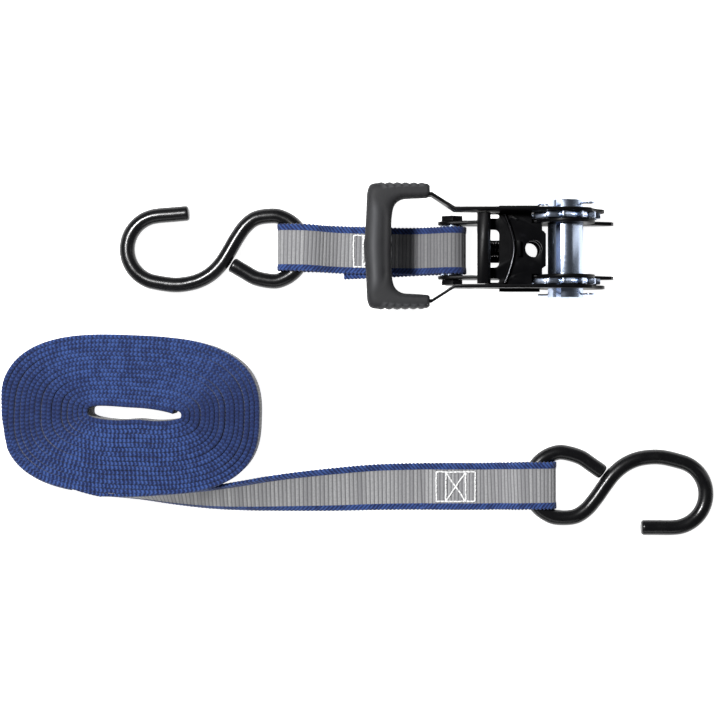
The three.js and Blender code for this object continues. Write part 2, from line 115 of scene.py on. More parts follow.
def studio():
    world = bpy.data.worlds.new("studio")
    world.use_nodes = True
    nodes, links = world.node_tree.nodes, world.node_tree.links
    sky = nodes["Background"]
    sky.inputs["Color"].default_value = (0.93, 0.96, 1, 1)
    # The sky is dim overhead, where the camera stands, and bright towards the horizon
    direction = nodes.new("ShaderNodeTexCoord").outputs["Generated"]
    height = nodes.new("ShaderNodeSeparateXYZ")
    dim = nodes.new("ShaderNodeMapRange")
    dim.interpolation_type = "SMOOTHSTEP"
    for socket, value in (("From Min", 0.1), ("From Max", 0.75), ("To Min", 0.26), ("To Max", 0.05)):
        dim.inputs[socket].default_value = value
    links.new(direction, height.inputs[0])
    links.new(height.outputs["Z"], dim.inputs["Value"])
    links.new(dim.outputs["Result"], sky.inputs["Strength"])
    bpy.context.scene.world = world
    bpy.context.scene.view_settings.view_transform = "Standard"
    area_light("key", (-0.36, 0.24, 0.85), (0, 0, 0), (0.14, 0.14), 16.0)
    area_light("fill", (0.85, 0.2, 0.33), (0, 0, 0), (0.2, 0.8), 0.6)
    area_light("front", (0.0, -0.8, 0.45), (0, 0, 0), (0.9, 0.25), 1.2)
    mesh = bpy.data.meshes.new("floor")
    r = FLOOR_HALF
    mesh.from_pydata([(-r, -r, 0), (r, -r, 0), (r, r, 0), (-r, r, 0)], [], [(0, 1, 2, 3)])
    floor = bpy.data.objects.new("floor", mesh)
    floor.location.z = -FLOOR_DROP
    bpy.context.scene.collection.objects.link(floor)
    paper = bpy.data.materials.new("paper")
    paper.use_nodes = True
    shader = paper.node_tree.nodes["Principled BSDF"]
    shader.inputs["Base Color"].default_value = (0.6, 0.6, 0.6, 1)
    shader.inputs["Roughness"].default_value = 0.9
    shader.inputs["Specular IOR Level"].default_value = 0.1
    shader.inputs["Emission Color"].default_value = (1, 1, 1, 1)
    shader.inputs["Emission Strength"].default_value = 0.96
    mesh.materials.append(paper)


# ---- Materials ---------------------------------------------------------------------------
class Graph:
    """A small wrapper that makes node trees readable."""

    def __init__(self, name, **constants):
        self.material = bpy.data.materials.new(name)
        self.material.use_nodes = True
        self.tree = self.material.node_tree
        self.shader = self.tree.nodes["Principled BSDF"]
        for socket, value in constants.items():
            self.shader.inputs[socket.replace("_", " ")].default_value = value

    def put(self, socket, value):
        if isinstance(value, bpy.types.NodeSocket):
            self.tree.links.new(value, socket)
        else:
            socket.default_value = value

    def node(self, kind, settings=None, **inputs):
        made = self.tree.nodes.new("ShaderNode" + kind)
        for key, value in (settings or {}).items():
            setattr(made, key, value)
        for key, value in inputs.items():
            self.put(made.inputs[key.replace("_", " ")], value)
        return made

    def maths(self, operation, *values):
        made = self.tree.nodes.new("ShaderNodeMath")
        made.operation = operation
        for socket, value in zip(made.inputs, values):
            self.put(socket, value)
        return made.outputs[0]

    def ramp(self, value, start, end, a=0.0, b=1.0):
        made = self.node("MapRange", {"interpolation_type": "SMOOTHSTEP"}, Value=value,
                         From_Min=start, From_Max=end, To_Min=a, To_Max=b)
        return made.outputs["Result"]

    def mix(self, factor, a, b):
        made = self.tree.nodes.new("ShaderNodeMix")
        made.data_type = "RGBA"
        for socket, value in zip((made.inputs[0], made.inputs[6], made.inputs[7]), (factor, a, b)):
            self.put(socket, value)
        return made.outputs[2]

    def attribute(self, name):
        return self.node("Attribute", {"attribute_name": name}).outputs["Fac"]

    def noise(self, scale, detail=3.0, stretch=(1, 1, 1)):
        place = self.node("TexCoord").outputs["Object"]
        mapping = self.node("Mapping", Vector=place, Scale=stretch)
        return self.node("TexNoise", Vector=mapping.outputs[0], Scale=scale, Detail=detail).outputs["Fac"]

    def link(self, colour=None, roughness=None, bump=None, depth=0.0001, strength=1.0):
        if colour is not None:
            self.put(self.shader.inputs["Base Color"], colour)
        if roughness is not None:
            self.put(self.shader.inputs["Roughness"], roughness)
        if bump is not None:
            made = self.node("Bump", Height=bump, Distance=depth, Strength=strength)
            self.put(self.shader.inputs["Normal"], made.outputs[0])
        return self.material


def rgb(r, g, b):
    return (r, g, b, 1.0)


def black_steel():
    """Black coated steel: a satin coat, faint orange peel and a few rubbed, greyer places."""
    g = Graph("black_steel", Specular_IOR_Level=0.06)
    patches = g.noise(160, 5)
    fine = g.noise(1500, 2)
    worn = g.ramp(patches, 0.62, 0.75)
    colour = g.mix(worn, rgb(0.0022, 0.0022, 0.0026), rgb(0.005, 0.005, 0.006))
    rough = g.ramp(patches, 0.3, 0.7, 0.3, 0.4)
    return g.link(colour, rough, fine, 0.00006, 0.5)


def zinc(name="zinc", tint=(0.52, 0.6, 0.76)):
    """Bright zinc plate: cool metal with a drawn grain and cloudy roughness."""
    g = Graph(name, Metallic=1.0)
    cloud = g.noise(60, 3)
    grain = g.noise(400, 3, (1, 8, 1))
    dark = tuple(c * 0.88 for c in tint)
    colour = g.mix(g.ramp(cloud, 0.35, 0.7), rgb(*tint), rgb(*dark))
    return g.link(colour, g.ramp(grain, 0.25, 0.75, 0.2, 0.27))


def rubber():
    """Moulded grip: matt dark grey with a fine grain, and a painted highlight along the crests of its
    swell and ridges.
    """
    g = Graph("rubber_grip", Specular_IOR_Level=0.18)
    grain = g.noise(1300, 2)
    cloud = g.noise(60, 4)
    crest = g.attribute("crest")
    colour = g.mix(g.ramp(cloud, 0.3, 0.7), rgb(0.008, 0.008, 0.009), rgb(0.014, 0.014, 0.015))
    # Painted highlight: lighter along the crests of the bar's swell and the arms' ridges
    colour = g.mix(crest, colour, rgb(0.06, 0.061, 0.065))
    return g.link(colour, g.ramp(cloud, 0.2, 0.8, 0.55, 0.72), grain, 0.00012, 0.5)


def vinyl():
    """Dipped vinyl: near black with a soft gloss and a slightly uneven skin."""
    g = Graph("vinyl_coat", Specular_IOR_Level=0.32)
    waves = g.noise(110, 2)
    specks = g.noise(900, 2)
    colour = g.mix(g.ramp(specks, 0.6, 0.75), rgb(0.004, 0.004, 0.0045), rgb(0.009, 0.009, 0.01))
    height = g.maths("ADD", waves, g.maths("MULTIPLY", specks, 0.15))
    return g.link(colour, g.ramp(waves, 0.3, 0.7, 0.2, 0.3), height, 0.0004, 0.35)


BLUE = (8.95, 9.35)  # the grey turns blue between these distances from the middle
WEFT_PITCH, WARP_PITCH, TWIST_PITCH = 0.42, 0.8, 0.7


def webbing():
    """Polyester webbing: ribbed grey middle and blue selvages with looped picks."""
    g = Graph("webbing", Specular_IOR_Level=0.25, Sheen_Weight=0.12, Sheen_Roughness=0.5)
    across, along, side = (g.attribute(name) for name in ("across", "along", "side"))
    edge = g.maths("ABSOLUTE", across)
    blue = g.ramp(edge, *BLUE)
    phase = g.maths("DIVIDE", along, RIB)
    rib = g.maths("ABSOLUTE", g.maths("SINE", g.maths("MULTIPLY", phase, math.pi)))
    # Painted shade in the grooves between the ribs: the grey darkens where the rib is low
    groove_shade = g.ramp(rib, 0.0, 0.7)
    tone = g.node("TexWhiteNoise", {"noise_dimensions": "1D"}, W=g.maths("FLOOR", phase)).outputs["Value"]
    weft = g.maths("SINE", g.maths("MULTIPLY", along, 2 * math.pi / WEFT_PITCH))
    warp = g.maths("SINE", g.maths("MULTIPLY", across, 2 * math.pi / WARP_PITCH))
    fuzz = g.noise(1100, 3)
    streak = g.noise(260, 3)
    # Two picks cross in every loop of the selvage, so its tone runs in slanting V's: a woven pattern, with
    # painted highlight on the raised side of each loop
    slant = g.maths("ADD", phase, g.maths("MULTIPLY", edge, CHEVRON))
    slant = g.maths("ADD", slant, g.maths("MULTIPLY", g.maths("ABSOLUTE", side), 0.5))
    loop = g.maths("SINE", g.maths("MULTIPLY", slant, 2 * math.pi))
    loop = g.maths("ADD", g.maths("MULTIPLY", loop, 0.5), 0.5)
    pale = g.mix(tone, rgb(0.20, 0.20, 0.208), rgb(0.32, 0.32, 0.325))
    grey = g.mix(groove_shade, rgb(0.085, 0.085, 0.09), pale)
    grey = g.mix(g.ramp(fuzz, 0.35, 0.7, 0.0, 0.35), grey, rgb(0.15, 0.15, 0.158))
    dark, light = rgb(0.005, 0.012, 0.058), rgb(0.030, 0.066, 0.215)
    shade = g.maths("MULTIPLY", loop, g.ramp(fuzz, 0.25, 0.6, 0.45, 1.0))
    shade = g.maths("ADD", shade, g.ramp(streak, 0.35, 0.65, -0.24, 0.2))
    # Painted shade: the strap is darker at the coil's bends and innermost turn, and towards the ratchet
    painted_shade_fac = g.attribute("bend")
    grey = g.mix(painted_shade_fac, grey, rgb(0.06, 0.06, 0.064))
    edging = g.mix(g.ramp(shade, 0.0, 1.0), dark, light)
    colour = g.mix(blue, grey, g.mix(painted_shade_fac, edging, dark))
    yarns = g.maths("MULTIPLY", g.maths("ADD", weft, warp), 0.08)
    flat = g.maths("ADD", rib, yarns)
    weave = g.maths("ADD", g.maths("MULTIPLY", loop, 0.9), g.maths("MULTIPLY", fuzz, 0.6))
    height = g.mix(blue, flat, weave)
    return g.link(colour, g.ramp(fuzz, 0.3, 0.7, 0.78, 0.92), height, 0.00022, 0.7)


def thread():
    """White sewing thread, twisted."""
    g = Graph("thread", Specular_IOR_Level=0.3, Sheen_Weight=0.2)
    along = g.attribute("along")
    around = g.attribute("around")
    twists = g.maths("ADD", g.maths("DIVIDE", along, TWIST_PITCH), around)
    twist = g.maths("SINE", g.maths("MULTIPLY", twists, 2 * math.pi))
    colour = g.mix(g.ramp(twist, -1, 0.6), rgb(0.55, 0.55, 0.56), rgb(0.86, 0.86, 0.85))
    return g.link(colour, g.ramp(g.noise(900, 2), 0.3, 0.7, 0.6, 0.8), twist, 0.00008, 0.6)


# ---- Mesh making -------------------------------------------------------------------------
def build(name, verts, faces, material, body=None, replaces=(), slot=None, sharp=None, **values):
    """A mesh from drawing millimetres, riding on a body; values are float attributes per point."""
    mesh = bpy.data.meshes.new(name)
    points = ((np.asarray(verts, float) + SHIFT) * MM).tolist()
    mesh.from_pydata(points, [], [list(map(int, face)) for face in faces])
    for key, value in values.items():
        data = mesh.attributes.new(key, "FLOAT", "POINT")
        data.data.foreach_set("value", np.asarray(value, np.float32).ravel())
    mesh.validate()
    mesh.materials.append(material)
    mesh.shade_smooth()
    if sharp:
        mesh.set_sharp_from_angle(angle=math.radians(sharp))
    obj = bpy.data.objects.new(name, mesh)
    bpy.context.scene.collection.objects.link(obj)
    if replaces:
        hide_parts(*replaces)
    if body:
        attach(obj, body)
    return obj


def polar(r, degrees):
    a = np.radians(degrees)
    return np.stack([r * np.cos(a), r * np.sin(a)], -1)


def arc(cx, cy, r, start, end, steps):
    return (polar(r, np.linspace(start, end, steps + 1)) + [cx, cy]).tolist()


def superellipse(a, b, n, angle):
    c, s = np.cos(angle), np.sin(angle)
    return np.stack([a * np.sign(c) * np.abs(c) ** (2 / n), b * np.sign(s) * np.abs(s) ** (2 / n)], -1)


def turned(points, angle, a, b):
    """Points turned by the angle, in radians, from axis a towards axis b."""
    made = np.array(points, float)
    p, q = points[..., a], points[..., b]
    made[..., a] = p * math.cos(angle) - q * math.sin(angle)
    made[..., b] = p * math.sin(angle) + q * math.cos(angle)
    return made


def travelled(path):
    """Distance along the path at each of its points."""
    return np.concatenate([[0], np.cumsum(np.linalg.norm(np.diff(path, axis=0), axis=1))])


def sample(want, at, path):
    """The path's columns at the wanted places, from the place of each of its points."""
    return np.stack([np.interp(want, at, column) for column in path.T], -1)


def even(path, step):
    """The same line with points a step apart."""
    gone = travelled(path)
    count = max(2, round(gone[-1] / step) + 1)
    return sample(np.linspace(0, gone[-1], count), gone, path)


def catmull(points, samples=24):
    """A centripetal Catmull-Rom curve through the points."""
    p = np.asarray(points, float)
    p = np.vstack([2 * p[0] - p[1], p, 2 * p[-1] - p[-2]])
    t = np.concatenate([[0], np.cumsum(np.linalg.norm(np.diff(p, axis=0), axis=1) ** 0.5)])

    def between(a, b, i, j, at):
        return (a * (t[j] - at) + b * (at - t[i])) / (t[j] - t[i])

    line = []
    for i in range(1, len(p) - 2):
        at = np.linspace(t[i], t[i + 1], samples, endpoint=False)[:, None]
        first = [between(p[k], p[k + 1], k, k + 1, at) for k in (i - 1, i, i + 1)]
        second = [between(first[k], first[k + 1], i - 1 + k, i + 1 + k, at) for k in (0, 1)]
        line.append(between(second[0], second[1], i, i + 1, at))
    return np.vstack([*line, p[-2][None]])


def curve(points, step):
    return even(catmull(points), step)


def unit(v):
    return v / np.linalg.norm(v, axis=-1, keepdims=True)


def skin(rings, cap=True):
    """Points and faces of a closed tube through rings shaped (stations, around, 3)."""
    n, m = rings.shape[:2]
    i, k = np.meshgrid(np.arange(n - 1), np.arange(m), indexing="ij")
    a, b = i * m + k, i * m + (k + 1) % m
    faces = np.stack([a, b, b + m, a + m], -1).reshape(-1, 4).tolist()
    if cap:
        faces += [list(range(m))[::-1], list(range((n - 1) * m, n * m))]
    return rings.reshape(-1, 3), faces


def tube(path, radius, sides, bevel=0.0, start=(0, 0, 1)):
    """Rings round a path by parallel transport; its ends are rounded off by the bevel."""
    radii = np.full(len(path), float(radius))
    if bevel:
        gone = travelled(path)
        near = np.minimum(gone, gone[-1] - gone)
        inside = near < bevel
        radii[inside] = radius - bevel + np.sqrt(np.maximum(bevel ** 2 - (bevel - near[inside]) ** 2, 0))
    tangent = unit(np.gradient(path, axis=0))
    normal = np.array(start, float)
    angle = np.linspace(0, 2 * math.pi, sides, endpoint=False)
    rings = []
    for p, t, r in zip(path, tangent, radii):
        normal = unit(normal - t * (normal @ t))
        side = np.cross(t, normal)
        rings.append(p + r * (np.cos(angle)[:, None] * normal + np.sin(angle)[:, None] * side))
    return np.array(rings)


def finer_ends(path, bevel, count=5):
    """The path with extra points close to its ends, where the end is rounded."""
    gone = travelled(path)
    extra = bevel * (1 - np.cos(np.linspace(0, math.pi / 2, count)))
    between = gone[(gone > bevel) & (gone < gone[-1] - bevel)]
    return sample(np.unique(np.concatenate([extra, between, gone[-1] - extra])), gone, path)


def merge(*shapes):
    """Several (points, faces) as one."""
    verts, faces, start = [], [], 0
    for v, f in shapes:
        verts.append(np.asarray(v, float))
        faces += [[i + start for i in face] for face in f]
        start += len(v)
    return np.vstack(verts), faces


def left_of(direction):
    return np.stack([-direction[:, 1], direction[:, 0]], -1)


def inset(loop, amount):
    """A closed outline moved inwards by the amount; holes run clockwise, so they grow."""
    p = np.asarray(loop, float)
    ahead, behind = unit(np.roll(p, -1, 0) - p), unit(p - np.roll(p, 1, 0))
    mid = left_of(ahead) + left_of(behind)
    # The floor under the scale keeps sharp corners from shooting inwards
    scale = np.maximum((mid * left_of(ahead)).sum(1, keepdims=True), 0.6)
    return p + mid / scale * amount


def area_of(loop):
    x, y = np.asarray(loop, float).T
    return 0.5 * np.sum(x * np.roll(y, -1) - np.roll(x, -1) * y)


def plate(outline, thickness, bevel, holes=()):
    """A flat plate from z = 0 up, with rounded arrises round its outline and its holes."""
    loops = [np.asarray(loop, float) for loop in (outline, *holes)]
    # The outline runs anticlockwise and the holes clockwise
    loops = [loop if (area_of(loop) > 0) == (i == 0) else loop[::-1] for i, loop in enumerate(loops)]
    levels = [(0, bevel), (bevel * 0.3, bevel * 0.3), (bevel, 0),
              (thickness - bevel, 0), (thickness - bevel * 0.3, bevel * 0.3), (thickness, bevel)]
    verts, faces, first, last = [], [], [], []
    for loop in loops:
        start, n = sum(len(v) for v in verts), len(loop)
        rings = [np.column_stack([inset(loop, by), np.full(n, z)]) for z, by in levels]
        verts.append(np.vstack(rings))
        for r in range(len(levels) - 1):
            a = start + r * n
            faces += [[a + i, a + (i + 1) % n, a + n + (i + 1) % n, a + n + i] for i in range(n)]
        first.append((start, rings[0]))
        last.append((start + (len(levels) - 1) * n, rings[-1]))
    for ends, is_bottom in ((first, True), (last, False)):
        index = np.concatenate([np.arange(start, start + len(ring)) for start, ring in ends])
        points = np.concatenate([ring for _, ring in ends])
        for corners in tessellate_polygon([[Vector(point) for point in ring] for _, ring in ends]):
            a, b, c = (points[i] for i in corners)
            looks_up = np.cross(b - a, c - a)[2] > 0
            if looks_up == is_bottom:
                corners = corners[::-1]
            faces.append([int(index[i]) for i in corners])
    return np.vstack(verts), faces


def upright(shape, y0):
    """A plate drawn in (x, z) stood on edge, its first face at y0 looking to -Y."""
    v, f = shape
    return np.stack([v[:, 0], y0 + v[:, 2], v[:, 1]], -1), [face[::-1] for face in f]


def in_ratchet(shape):
    v, f = shape
    return np.asarray(v) + RATCHET, f


# ---- Webbing -----------------------------------------------------------------------------
RIM = 11.5  # outside this distance from the middle lie the selvage's outermost loops
LOOP_SWING = 0.22  # how far those loops wave in and out


def strip(path, across, selvage, columns, start=0.0, body=None):
    """Webbing along a path, whose distance along the strap is counted from start.

    across is the direction of its width, selvage the thickness of its blue edges and columns the
    places across it that get points. body is half the thickness inside the rims, if that varies.
    """
    tangent = unit(np.gradient(path, axis=0))
    across = unit(across - tangent * (across * tangent).sum(1, keepdims=True))
    out = np.cross(across, tangent)
    gone = travelled(path) + start
    top = np.array(columns, float)
    u = np.concatenate([[-WEB_HALF], top, [WEB_HALF], top[::-1]])
    side = np.concatenate([[0], np.ones(len(top)), [0], -np.ones(len(top))])
    edge = np.abs(u)
    # The ribs are never quite evenly spaced
    ribs = gone + RIB * (0.6 * np.sin(gone / 37) + 0.5 * np.sin(gone / 23.7 + 1))
    phase = ribs[:, None] / RIB
    rib = np.abs(np.sin(math.pi * phase)) ** 0.7
    grey, rim, tip = edge < GREY_HALF, edge > RIM, side == 0
    # The selvage swells beside the grey and rounds off at its tips
    bulge = np.clip((edge - GREY_HALF) / 1.2, 0, 1) * np.sqrt(np.clip((12.75 - edge) / 0.8, 0, 1))
    thick = WEB_T / 2 + (selvage - WEB_T) / 2 * bulge
    picks = 0.5 + 0.5 * np.cos(2 * math.pi * (phase + CHEVRON * edge + 0.25 * side))
    lift = np.where(grey, 0.14 * rib - 0.06, 0.16 * picks * ~tip * (body is None or rim))
    reach = u + np.sign(u) * np.where(rim, LOOP_SWING * np.cos(2 * math.pi * phase), 0)
    if body is not None:
        thick = np.where(rim, thick, body[:, None])
    sway = np.where(tip, LOOP_SWING * np.cos(2 * math.pi * (phase + 0.25)), 0)
    height = side * (thick + lift) + sway * (selvage == COIL_SELVAGE_T)
    rings = path[:, None] + across[:, None] * reach[..., None] + out[:, None] * height[..., None]
    verts, faces = skin(rings)
    values = {"across": np.tile(u, len(path)), "along": np.repeat(ribs, len(u)),
              "side": np.tile(side, len(path))}
    return verts, faces, values, gone[-1] - gone[0]


# Points across the webbing: many where it lies open, few in the coil
FINE = [-12.25, -11.6, -10.7, -9.8, -9.15, -8.85, -6, -2, 2, 6, 8.85, 9.15, 9.8, 10.7, 11.6, 12.25]
COARSE = [-12.25, -11, 11, 12.25]


# Foot of the run along the floor and its lean from upright, in degrees: it lies against the
# coil first and twists down flat
RUN = np.array([
    (-137, -72.7, 4.5), (-119, -74.5, 8.5), (-98, -77.7, 20), (-79, -79.9, 31.5), (-62, -80.9, 42),
    (-48, -81.3, 51), (-16, -81.7, 69), (12, -81.3, 82), (40.2, -81.2, 90),
])
TURNS = 16.6
LAST = 0.24 / TURNS  # share of the winding over which the strap starts to lean outwards
FLAT_FROM = 33  # the run lies flat from here on, and its folded end begins


def coil_line():
    """The wound strap from its inner end to where the run leaves.

    Gives its centreline, the direction of its width, half its thickness inside the rims, and how
    much painted shade it gets.
    """
    f = np.linspace(0, 1, 16000)  # share of the winding, from the inside
    angle = math.radians(251) - 2 * math.pi * TURNS * (1 - f)
    right = np.cos(angle)
    inner = superellipse(24, 1.0, 3.2, angle)
    inner[:, 1] *= 3.7 - 1.1 * right
    inner += np.column_stack([np.full_like(f, 0.9), 0.5 - 0.4 * right])
    inner[:, 1] += 0.8 * np.exp(-((inner[:, 0] - 3) / 6) ** 2) * (np.sin(angle) < 0)
    outer = superellipse(66.3, 41.6, 2.8, angle)
    # It is fuller at the left and along the bottom, where it was wound last
    outer *= (1.03 - 0.009 * right - 0.02 * np.sin(angle) + 0.008 * np.cos(2 * angle))[:, None]
    # At the bends the turns lie in loose groups with gaps between them
    wander = 0.0085 * np.sin(2 * math.pi * 3.4 * f + 1.0) + 0.0035 * np.sin(2 * math.pi * 7.3 * f)
    spread = np.clip(f + right ** 2 * wander * np.sin(math.pi * f) ** 0.5, 0, 1)[:, None]
    flat = inner * (1 - spread) + outer * spread
    turn = math.radians(-2)  # the whole coil lies slightly askew
    flat = flat @ np.array([[math.cos(turn), math.sin(turn)], [-math.sin(turn), math.cos(turn)]]) + COIL
    late = np.clip((f - 1 + LAST) / LAST, 0, 1)
    late = late * late * (3 - 2 * late)
    lean = np.radians(RUN[0, 2]) * late
    along = unit(np.gradient(flat, axis=0))
    outward = np.column_stack([along[:, 1], -along[:, 0]])
    foot = np.array([RUN[0, 0], RUN[0, 1] - WEB_T / 2])
    off = foot - (flat[-1] + outward[-1] * WEB_HALF * 2 * math.sin(lean[-1]))
    flat += outward * (WEB_HALF * np.sin(lean))[:, None] + late[:, None] * off
    rise = (0.3 + 0.3 * np.sin(angle * 0.5 + 9 * f) * np.sin(math.pi * f)) * (1 - late)
    # The hidden middle of the strap fills the space to the neighbouring turns
    one_turn = 1 / TURNS
    neighbours = [sample(np.clip(f + step, 0, 1), f, flat) for step in (one_turn, -one_turn)]
    outside, inside = (np.linalg.norm(flat - other, axis=1) / 2 for other in neighbours)
    body = np.where(f > 1 - one_turn, inside, np.where(f < one_turn, outside, np.maximum(outside, inside)))
    body = np.clip(body, 0.9, 1.9)
    body = body * (1 - late) + late * WEB_T / 2
    # Painted shade on the innermost turn and at the bends
    bend = np.where(f < one_turn, 0.6, 0.7 * right ** 4 * (1 - late))
    line = np.column_stack([flat, WEB_HALF * np.cos(lean) + rise, lean, outward, body, bend])
    gone = travelled(line[:, :3])
    line = sample(np.linspace(0, gone[-1], round(gone[-1] / COIL_STEP) + 1), gone, line)
    lean, outward = line[:, 3:4], line[:, 4:6]
    return line[:, :3], np.hstack([-outward * np.sin(lean), np.cos(lean)]), line[:, 6], line[:, 7]


def run_line():
    """Foot of the run along the floor, and its tilt from upright."""
    # A degree of lean counts as half a millimetre in the spacing of the points
    foot = even(catmull(RUN * [1, 1, 0.5], 40), STRIP_STEP)
    return foot[:, :2], np.radians(foot[:, 2] * 2)


def long_strap(material):
    path, width, body, bend = coil_line()
    verts, faces, values, coil_length = strip(path, width, COIL_SELVAGE_T, COARSE, body=body)
    values["bend"] = np.repeat(bend, len(verts) // len(bend))
    wound = build("strap_coil", verts, faces, material, "loose_strap",
                  ["long_strap_coil"], "webbing", **values)

    foot, tilt = run_line()
    lean = np.stack([np.zeros_like(tilt), np.sin(tilt), np.cos(tilt)], -1)
    out = np.stack([np.zeros_like(tilt), -np.cos(tilt), np.sin(tilt)], -1)
    run = np.column_stack([foot, np.zeros(len(foot))]) + lean * WEB_HALF + out * (WEB_T / 2)
    run[:, 2] += 0.25
    y = run[-1, 1]
    fold = curve([
        (34, y, 0.9), (41, y, 1.85), (52, y, 1.9), (68, y, 1.9), (74, y + 0.2, 2.5), (79.5, y + 0.4, 5.6),
        (85, y + 0.7, 9.6), (91, y + 0.9, 10.6), (99.5, y + 1, 10.5), (103.6, y + 1, 8.9),
        (105.2, y + 1, 5.7), (103.6, y + 0.9, 2.4), (99.5, y + 0.8, 0.9), (92, y + 0.6, 0.7),
        (82, y + 0.3, 0.7), (60, y, 0.7), (41, y, 0.7)], STRIP_STEP)
    keep = run[:, 0] < FLAT_FROM + 0.5
    path = even(np.vstack([run[keep], fold]), STRIP_STEP)
    # Its width leans as the run does, then lies straight across, also round the fold
    tilt = np.interp(path[:, 0], foot[keep, 0], tilt[keep])
    tilt[np.argmax(path[:, 0] > FLAT_FROM):] = math.pi / 2
    width = np.stack([np.zeros_like(tilt), np.sin(tilt), np.cos(tilt)], -1)
    verts, faces, values, run_length = strip(path, width, SELVAGE_T, FINE, start=coil_length)
    end = build("strap_run", verts, faces, material, None,
                ["long_strap_run", "long_strap_end", "long_strap_eye"], "webbing", **values)
    return wound, coil_length, end, run_length


def short_strap(material):
    y = RATCHET[1] + 0.6
    path = curve([
        (17, y + 0.2, 1.85), (-6, y + 0.3, 1.85), (-10, y + 0.5, 1.5), (-16, y + 0.8, 0.8),
        (-28, y + 1, 0.75), (-38, y + 1.2, 0.9), (-42.3, y + 1.3, 2.4), (-43.9, y + 1.3, 5.6),
        (-42.3, y + 1.3, 8.8), (-38.2, y + 1.2, 10.5), (-29.5, y + 1, 10.6), (-23.5, y + 0.7, 9.2),
        (-18.5, y + 0.4, 6), (-13, y + 0.2, 3.5), (-7.5, y, 2.95), (14, y - 0.4, 2.95),
        (22, y - 0.5, 2.1), (30, y - 0.6, 3.4), (40, y - 0.6, 9.2), (45, y - 0.6, 13.2),
        (49.5, y - 0.6, 14.45), (54.3, y - 0.6, 12.5), (56.5, y - 0.6, 7.6), (54.3, y - 0.6, 2.7),
        (49.5, y - 0.6, 0.75), (40, y - 0.7, 0.7), (28, y - 1.2, 0.7), (10, y - 2.2, 0.7),
        (-9.2, y - 3.0, 0.7)], STRIP_STEP)
    width = np.tile([0.0, 1.0, 0.0], (len(path), 1))
    verts, faces, values, length = strip(path, width, SELVAGE_T, FINE)
    # Painted shade: it lies darker towards the ratchet, and darkest at the end of its fold
    x = verts[:, 0]
    values["bend"] = 0.1 + 0.5 * np.clip((x - 12) / 26, 0, 1) + 0.4 * np.clip((x - 53.6) / 1.6, 0, 1)
    return build("strap_short", verts, faces, material, None,
                 ["short_strap", "short_strap_eye"], "webbing", **values), length


STITCH_PITCH, STITCH_R, STITCH_RISE, STITCH_SINK = 2.3, 0.45, 0.62, 0.5
BOX_BAR = 5.1  # from each end of a sewn box to the bar beside it
LONG_BOX = {"x": (41.4, 62.4), "y": (-76.6, -60.8), "z": 2.75}
SHORT_BOX = {"x": (-3.4, 16.6), "y": (50.4, 67.2), "z": 3.8}


def box_lines(box):
    """A sewn box with a bar near each end and a cross between the bars."""
    (x0, x1), (y0, y1) = box["x"], box["y"]
    left, right = x0 + BOX_BAR, x1 - BOX_BAR
    return [((x0, y0), (x1, y0)), ((x1, y0), (x1, y1)), ((x1, y1), (x0, y1)), ((x0, y1), (x0, y0)),
            ((left, y0), (left, y1)), ((right, y0), (right, y1)),
            ((left, y0), (right, y1)), ((left, y1), (right, y0))]


def stitching(name, box, material, body):
    """A box of thread rows: each stitch rises over the webbing and dips at its ends."""
    rng = np.random.default_rng(7)
    shapes, along, around = [], [], []
    sides, steps = 8, 8
    for (x0, y0), (x1, y1) in box_lines(box):
        length = math.hypot(x1 - x0, y1 - y0)
        count = max(2, round(length / STITCH_PITCH))
        t = np.linspace(0, 1, count * steps + 1)
        jitter = np.interp(t, np.linspace(0, 1, count + 1), rng.normal(0, 0.12, count + 1))
        nx, ny = -(y1 - y0) / length, (x1 - x0) / length
        hump = np.abs(np.sin(math.pi * t * count)) ** 0.55
        x = x0 + (x1 - x0) * t + nx * jitter
        y = y0 + (y1 - y0) * t + ny * jitter
        path = np.column_stack([x, y, box["z"] - STITCH_SINK + STITCH_RISE * hump])
        shapes.append(skin(tube(path, STITCH_R, sides)))
        along.append(np.repeat(t * length, sides))
        around.append(np.tile(np.arange(sides) / sides, len(t)))
    verts, faces = merge(*shapes)
    return build("visual_" + name, verts, faces, material, body, [name], "thread",
                 along=np.concatenate(along), around=np.concatenate(around))


# ---- S-hooks -----------------------------------------------------------------------------
def s_hook(name, at, body, material):
    """One bent wire: a closed loop for the strap's eye and an open hook at the other end."""
    end_bevel = 1.5
    route = [(17.2, 8.5), (10.4, 12.4), (4, 15.9), *arc(LOOP_X, 0, LOOP_R, 98, 262, 12),
             (4, -16.3), (9.6, -12.2), (14.2, -5.9), (18.7, 1.8), (23, 8.4), (28.5, 13.8), (34.5, 17.2),
             (41, 19), (48, 19.6),
             *arc(OPEN_X, OPEN_Y, OPEN_R, 83, -85, 12), (48, -18.5), (40.2, -19.2)]
    path = curve([(u, v, 0) for u, v in route], 1.0)
    rings = tube(finer_ends(path, end_bevel), WIRE_R, 40, end_bevel)
    # The eye holds the loop a little higher than the floor holds the open end
    tilt = math.asin((EYE_HEIGHT - WIRE_R) / (OPEN_X + OPEN_R - LOOP_X + LOOP_R))
    points, faces = skin(rings)
    points = turned(points, -tilt, 0, 2)
    points = turned(points, math.radians(at["turn"]), 0, 1)
    points += [at["x"], at["y"], EYE_HEIGHT - (LOOP_R - LOOP_X) * math.sin(tilt)]
    build("visual_" + name, points, faces, material, body, [name], "vinyl_coated_steel")


# ---- Grip --------------------------------------------------------------------------------
GRIP_MIDDLE, GRIP_HALF_HEIGHT = 10.1, 7.9  # above the spindle's axis
GRIP_OFFSET = 0.9  # it stands slightly to one side
RIDGES = {"start": -74.5, "pitch": 4.3, "height": 0.75}


